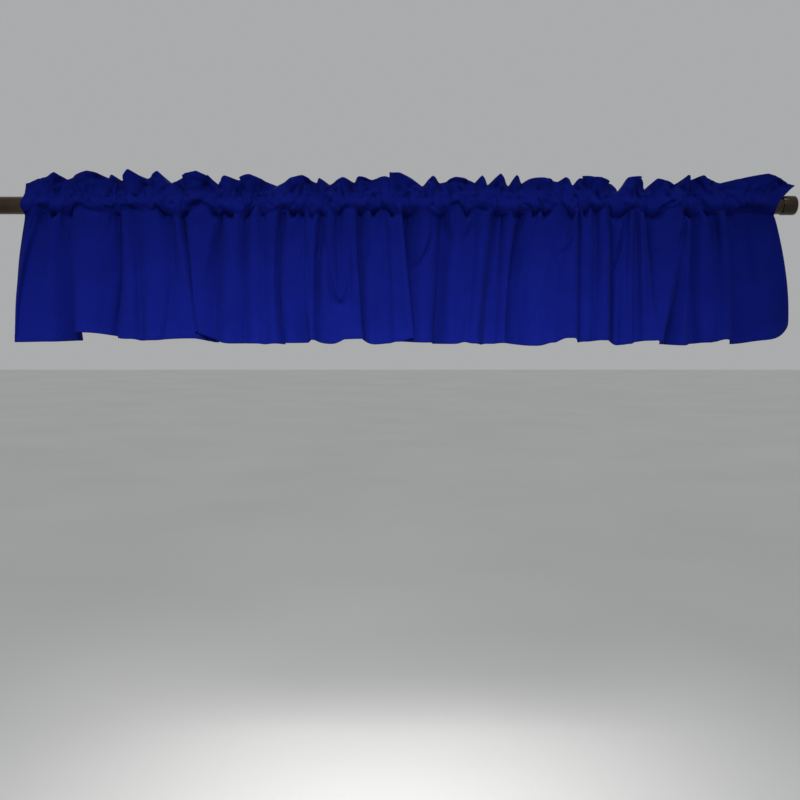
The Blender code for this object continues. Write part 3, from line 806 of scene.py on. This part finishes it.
def new_object(name, data):
    """A named object in the scene."""
    made = bpy.data.objects.new(name, data)
    bpy.context.scene.collection.objects.link(made)
    return made


def mesh_object(name, points, faces):
    """A piece made of points and faces, with its place in its mesh."""
    mesh = bpy.data.meshes.new(name)
    mesh.from_pydata((points.reshape(-1, 3) * MM).tolist(), [], faces)
    return new_object(name, mesh)


def select_only(piece):
    """Deselect everything and make one piece the selected and active one."""
    bpy.ops.object.select_all(action="DESELECT")
    piece.select_set(True)
    bpy.context.view_layer.objects.active = piece


def place_cylinder(name, radius, length, middle, sides):
    """A cylinder along X with its place in its mesh."""
    bpy.ops.object.select_all(action="DESELECT")
    bpy.ops.mesh.primitive_cylinder_add(
        vertices=sides,
        radius=radius * MM,
        depth=length * MM,
        location=(middle * MM, 0, 0),
        rotation=(0, math.pi / 2, 0),
    )
    piece = bpy.context.object
    piece.name = name
    piece.data.name = name
    bpy.ops.object.transform_apply(location=True, rotation=True, scale=True)
    return piece


def make_cloth(panel):
    """One panel's cloth as a thin closed sheet, thicker along its hems."""
    path, along, shown, top_row, low_row = whole_cloth(panel)
    rows, lines = path.shape[:2]
    numbers = np.arange(rows * lines).reshape(rows, lines)
    corners = (numbers[:-1, :-1], numbers[1:, :-1], numbers[1:, 1:], numbers[:-1, 1:])
    faces = np.stack(corners, axis=-1).reshape(-1, 4)
    piece = mesh_object(panel.name + "_cloth", path, faces.tolist())
    down = np.append(0, np.cumsum(np.linalg.norm(np.diff(path, axis=0), axis=2).mean(axis=1)))
    spread = np.stack(np.broadcast_arrays(along[None, :], down[:, None]), axis=-1).reshape(-1, 2) * MM
    layer = piece.data.uv_layers.new(name="cloth")
    layer.data.foreach_set("uv", spread[faces.reshape(-1)].reshape(-1).astype(np.float32))

    hems = piece.vertex_groups.new(name="hems")
    edge = np.minimum(along, along[-1] - along) <= SIDE_HEM
    bottom = np.arange(rows) > rows - len(HEM_ROWS)
    hems.add(numbers[bottom[:, None] | edge[None, :]].tolist(), 1.0, "REPLACE")
    select_only(piece)
    thick = piece.modifiers.new("thick", "SOLIDIFY")
    thick.thickness = HEM_THICK * MM
    thick.offset = 0
    thick.vertex_group = "hems"
    thick.thickness_vertex_group = CLOTH_THICK / HEM_THICK
    bpy.ops.object.modifier_apply(modifier="thick")
    piece.data.shade_smooth()
    return piece, shown, top_row, low_row


# --- Sewing thread ---


def make_stitch():
    """One stitch along X: a short length of thread whose ends dive into the cloth."""
    stitch = place_cylinder("stitch", THREAD_THICK / 2, STITCH_LENGTH, 0, THREAD_SIDES)
    bpy.ops.object.mode_set(mode="EDIT")
    for place in (-STITCH_BEND, STITCH_BEND):
        bpy.ops.mesh.select_all(action="SELECT")
        bpy.ops.mesh.bisect(plane_co=(place * STITCH_LENGTH * MM, 0, 0), plane_no=(1, 0, 0))
    bpy.ops.object.mode_set(mode="OBJECT")
    past_bend = (STITCH_BEND + 0.5) / 2 * STITCH_LENGTH * MM
    for corner in stitch.data.vertices:
        corner.select = abs(corner.co.x) > past_bend
    bpy.ops.object.mode_set(mode="EDIT")
    bpy.ops.mesh.select_mode(type="VERT")
    bpy.ops.transform.translate(value=(0, 0, -STITCH_DIVE * THREAD_THICK * MM))
    bpy.ops.object.mode_set(mode="OBJECT")
    return stitch


def stitch_places(line, normal, stand):
    """Where each stitch of a row lies: its middle and its three directions."""
    length = lengths_along(line)
    places = np.arange(STITCH_PITCH / 2, length[-1], STITCH_PITCH)

    def at(values, where):
        return np.stack([np.interp(where, length, values[:, number]) for number in range(3)], axis=1)

    ahead = at(line, places + 1) - at(line, places - 1)
    ahead /= np.linalg.norm(ahead, axis=1, keepdims=True)
    out = at(normal, places)
    out -= (out * ahead).sum(axis=1, keepdims=True) * ahead
    out /= np.linalg.norm(out, axis=1, keepdims=True)
    return at(line, places) + stand * out, np.stack([ahead, np.cross(out, ahead), out], axis=1)


def make_thread(name, shown, top_row, low_row):
    """All the stitches of one panel: along its two seams, its hem and its two side hems."""
    stitch = make_stitch()
    corners = np.array([corner.co for corner in stitch.data.vertices]) / MM
    faces = [list(face.vertices) for face in stitch.data.polygons]
    bpy.data.objects.remove(stitch)
    normal = facing(shown)
    hem_row = len(shown) - len(HEM_ROWS) + HEM_ROWS.index(HEM_STITCH)
    hem_line = SIDE_HEM_LINES.index(HEM_STITCH)
    between = slice(hem_line, -hem_line)
    rows = [stitch_places(shown[row], normal[row], CLOTH_THICK / 2) for row in (top_row, low_row)]
    rows.append(stitch_places(shown[hem_row, between], normal[hem_row, between], HEM_THICK / 2))
    for line in (hem_line, -1 - hem_line):
        side = shown[: hem_row + 1, line]
        rows.append(stitch_places(side, normal[: hem_row + 1, line], HEM_THICK / 2))
    middles, turns = (np.concatenate(parts) for parts in zip(*rows))
    points = middles[:, None, :] + np.einsum("ci,nij->ncj", corners, turns)
    starts = range(0, len(points) * len(corners), len(corners))
    copies = [[start + corner for corner in face] for start in starts for face in faces]
    thread = mesh_object(name, points, copies)
    thread.data.shade_smooth()
    return thread


# --- Metal ---


def select_rim(piece, x, outer_radius):
    """In edit mode, select the ring of edges at one x that lies on the outside."""
    bpy.ops.object.mode_set(mode="EDIT")
    bpy.ops.mesh.select_all(action="DESELECT")
    bpy.ops.object.mode_set(mode="OBJECT")
    for edge in piece.data.edges:
        ends = [piece.data.vertices[number].co for number in edge.vertices]
        at_x = all(abs(end.x - x * MM) < RIM_SLACK * MM for end in ends)
        outside = all(math.hypot(end.y, end.z) > (outer_radius - 2 * RIM_SLACK) * MM for end in ends)
        edge.select = at_x and outside
    bpy.ops.object.mode_set(mode="EDIT")
    bpy.ops.mesh.select_mode(type="EDGE")


def round_rims(piece, radius, rims):
    """Round the outer rims of a bar, each with its x, its rounding and its steps, and smooth the bar."""
    for x, rounding, steps in rims:
        select_rim(piece, x, radius)
        bpy.ops.mesh.bevel(offset=rounding * MM, segments=steps, affect="EDGES")
        bpy.ops.object.mode_set(mode="OBJECT")
    select_only(piece)
    bpy.ops.object.shade_smooth_by_angle(angle=SMOOTH_ANGLE)


def make_rod():
    """The round rod, its ends eased."""
    half = OVERALL_LENGTH / 2 - CAP_LENGTH - SEAT_GAP
    rod = place_cylinder("curtain_rod", ROD_RADIUS, 2 * half, 0, METAL_SIDES)
    round_rims(rod, ROD_RADIUS, [(end, *ROD_RIM) for end in (-half, half)])
    return rod


def make_cap(name, side):
    """An end cap with a rounded outer rim and an eased inner one."""
    outer = side * OVERALL_LENGTH / 2
    inner = side * (OVERALL_LENGTH / 2 - CAP_LENGTH)
    cap = place_cylinder(name, CAP_RADIUS, CAP_LENGTH, (outer + inner) / 2, METAL_SIDES)
    round_rims(cap, CAP_RADIUS, [(outer, *CAP_FACE_RIM), (inner, *CAP_INNER_RIM)])
    return cap


# --- Finishes ---


class Wire:
    """An output socket in a finish. Arithmetic on it adds Math nodes."""

    def __init__(self, tree, socket=None):
        self.tree = tree
        self.socket = socket

    def node(self, kind, settings=None, values=None, output=0):
        """Any node: its type, its settings, and the values or wires of its sockets."""
        made = self.tree.nodes.new(kind)
        for name, value in (settings or {}).items():
            if name == "stops":
                set_stops(made.color_ramp, value)
            else:
                setattr(made, name, value)
        for name, value in (values or {}).items():
            if isinstance(value, Wire):
                self.tree.links.new(value.socket, made.inputs[name])
            else:
                made.inputs[name].default_value = value
        return Wire(self.tree, made.outputs[output])

    def calculate(self, operation, *numbers):
        return self.node("ShaderNodeMath", {"operation": operation}, dict(enumerate(numbers)))

    def __add__(self, other):
        return self.calculate("ADD", self, other)

    def __radd__(self, other):
        return self.calculate("ADD", other, self)

    def __mul__(self, other):
        return self.calculate("MULTIPLY", self, other)

    def __rmul__(self, other):
        return self.calculate("MULTIPLY", other, self)

    def sine(self):
        return self.calculate("SINE", self)

    def size(self):
        return self.calculate("ABSOLUTE", self)


def set_stops(ramp, stops):
    """A colour ramp's stops, each a position and a colour."""
    while len(ramp.elements) > 1:
        ramp.elements.remove(ramp.elements[-1])
    for number, (position, color) in enumerate(stops):
        stop = ramp.elements[0] if number == 0 else ramp.elements.new(position)
        stop.position = position
        stop.color = (*color, 1)


def noise(place, scale, detail):
    """Soft noise at a place."""
    return place.node("ShaderNodeTexNoise", values={"Vector": place, "Scale": scale, "Detail": detail})


def colors(tone, *stops):
    """The colour of each tone, between stops."""
    return tone.node("ShaderNodeValToRGB", {"stops": stops}, {0: tone})


def relief(height, strength, distance):
    """Fine relief, too small for the mesh."""
    values = {"Strength": strength, "Distance": distance, "Height": height}
    return height.node("ShaderNodeBump", values=values)


def new_finish(name, settings, kind="ShaderNodeTexCoord", sources=None, output=3):
    """An empty finish with its shader's constants set, and the place that its patterns go by, which is on
    the object if nothing else is asked."""
    finish = bpy.data.materials.new(name)
    finish.use_nodes = True
    shader = finish.node_tree.nodes["Principled BSDF"]
    for socket, value in settings.items():
        shader.inputs[socket].default_value = value
    return finish, shader, Wire(finish.node_tree).node(kind, sources, output=output)


def connect(shader, *wires):
    """A finish's colour, roughness and relief, as far as it has them, into its shader."""
    for socket, wire in zip(("Base Color", "Roughness", "Normal"), wires):
        wire.tree.links.new(wire.socket, shader.inputs[socket])


def cloth_noise(across, upright, scales, detail):
    """Noise on the cloth's own map, as fine as asked across and upright."""
    values = {0: across * scales[0], 1: upright * scales[1]}
    return noise(across.node("ShaderNodeCombineXYZ", values=values), 1.0, detail)


def cloth_finish():
    """Deep blue plain-weave poly-cotton: fine threads, uneven yarn and a soft bloom."""
    settings = {
        "Specular IOR Level": 0.03,
        "Sheen Weight": 0.012,
        "Sheen Roughness": 0.5,
        "Sheen Tint": (0.4, 0.6, 1.0, 1),
    }
    source = ("ShaderNodeUVMap", {"uv_map": "cloth"}, 0)
    finish, shader, place = new_finish("blue_plain_weave", settings, *source)
    across, upright = (place.node("ShaderNodeSeparateXYZ", values={0: place}, output=way) for way in (0, 1))
    turn = math.pi / WEAVE_PITCH
    crossing = (across * turn).sine() * (upright * turn).sine()
    weave = crossing.size() + 0.25 * crossing
    warp = cloth_noise(across, upright, (ACROSS_YARN, ALONG_YARN), 2.0)
    weft = cloth_noise(across, upright, (ALONG_YARN, ACROSS_YARN), 2.0)
    broad = cloth_noise(across, upright, (BROAD_PLACES, BROAD_PLACES), 3.0)
    yarn = 0.5 * warp + 0.5 * weft
    color = colors(
        0.6 * yarn + 0.25 * broad + 0.15 * weave,
        (0.32, (0.0016, 0.0044, 0.092)),
        (0.50, (0.0023, 0.0060, 0.119)),
        (0.68, (0.0031, 0.0079, 0.148)),
    )
    threads = relief(0.6 * weave + 0.4 * yarn, strength=0.35, distance=0.0002)
    connect(shader, color, 0.78 + 0.16 * yarn, threads)
    return finish


def thread_finish():
    """Blue polyester thread with the light twist of its plies."""
    finish, shader, place = new_finish("blue_thread", {"Specular IOR Level": 0.2})
    plies = noise(place, scale=2600.0, detail=2.0)
    color = colors(plies, (0.35, (0.0016, 0.0050, 0.095)), (0.65, (0.0045, 0.0120, 0.190)))
    twist = relief(plies, strength=0.3, distance=0.0001)
    connect(shader, color, 0.45 + 0.2 * plies, twist)
    return finish


def bronze_finish():
    """Dark bronze paint with a satin gloss, a fine orange peel and a little wear."""
    settings = {"Metallic": 0.75, "Specular IOR Level": 0.5}
    finish, shader, place = new_finish("dark_bronze_paint", settings)
    cloudy = noise(place, scale=22.0, detail=4.0)
    grain = noise(place, scale=900.0, detail=2.0)
    color = colors(
        0.75 * cloudy + 0.25 * grain,
        (0.30, (0.035, 0.024, 0.015)),
        (0.55, (0.053, 0.037, 0.024)),
        (0.80, (0.078, 0.056, 0.036)),
    )
    peel = relief(grain, strength=0.12, distance=0.0002)
    connect(shader, color, 0.17 + 0.14 * cloudy, peel)
    return finish


def floor_finish():
    """A plain pale floor."""
    finish, shader, place = new_finish("pale_floor", {"Roughness": 0.8})
    cloudy = noise(place, scale=0.6, detail=2.0)
    connect(shader, colors(cloudy, (0.3, (0.78, 0.78, 0.77)), (0.7, (0.82, 0.82, 0.81))))
    return finish


# --- The studio ---


def place_camera():
    """The camera at the photo's place."""
    lens = bpy.data.cameras.new("camera")
    lens.lens = CAMERA_LENS
    lens.sensor_width = CAMERA_SENSOR
    camera = new_object("camera", lens)
    camera.location = CAMERA_PLACE
    camera.rotation_euler = (math.radians(90 - CAMERA_TILT), 0, 0)
    bpy.context.scene.camera = camera


def place_light(light):
    """A soft rectangular light that points at a place."""
    lamp = bpy.data.lights.new(light.name, "AREA")
    lamp.shape = "RECTANGLE"
    lamp.size, lamp.size_y = light.size
    lamp.energy = light.power
    lamp.color = light.color
    lamp.spread = math.radians(light.spread)
    placed = new_object(light.name, lamp)
    placed.location = light.place
    x, y, z = np.array(light.aim) - np.array(light.place)
    placed.rotation_euler = (math.atan2(math.hypot(x, y), -z), 0, math.atan2(-x, y))


def make_studio():
    """A pale floor under the valance, soft lights and a pale sky."""
    bpy.ops.object.select_all(action="DESELECT")
    bpy.ops.mesh.primitive_plane_add(size=FLOOR_SIZE, location=(0, 0, FLOOR_Z))
    floor = bpy.context.object
    floor.name = "floor"
    bpy.ops.object.transform_apply(location=True, rotation=True, scale=True)
    floor.data.materials.append(floor_finish())
    for light in LIGHTS:
        place_light(light)
    world = bpy.data.worlds.new("studio")
    world.use_nodes = True
    sky = world.node_tree.nodes["Background"]
    sky.inputs["Color"].default_value = SKY_COLOR
    sky.inputs["Strength"].default_value = SKY_STRENGTH
    bpy.context.scene.world = world
    bpy.context.scene.view_settings.view_transform = "Standard"


# --- The valance ---


def main():
    place_camera()
    make_studio()
    blue = cloth_finish()
    blue_thread = thread_finish()
    bronze = bronze_finish()

    for piece, node in (
        (make_rod(), "rod"),
        (make_cap("cap_left", -1), "end_cap_left"),
        (make_cap("cap_right", 1), "end_cap_right"),
    ):
        piece.data.materials.clear()
        piece.data.materials.append(bronze)
        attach(piece, "root")
        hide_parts(node)

    for panel in PANELS:
        cloth, shown, top_row, low_row = make_cloth(panel)
        cloth.data.materials.append(blue)
        thread = make_thread(panel.name + "_thread", shown, top_row, low_row)
        thread.data.materials.append(blue_thread)
        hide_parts(panel.name)
        for piece in (cloth, thread):
            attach(piece, "root")


main()
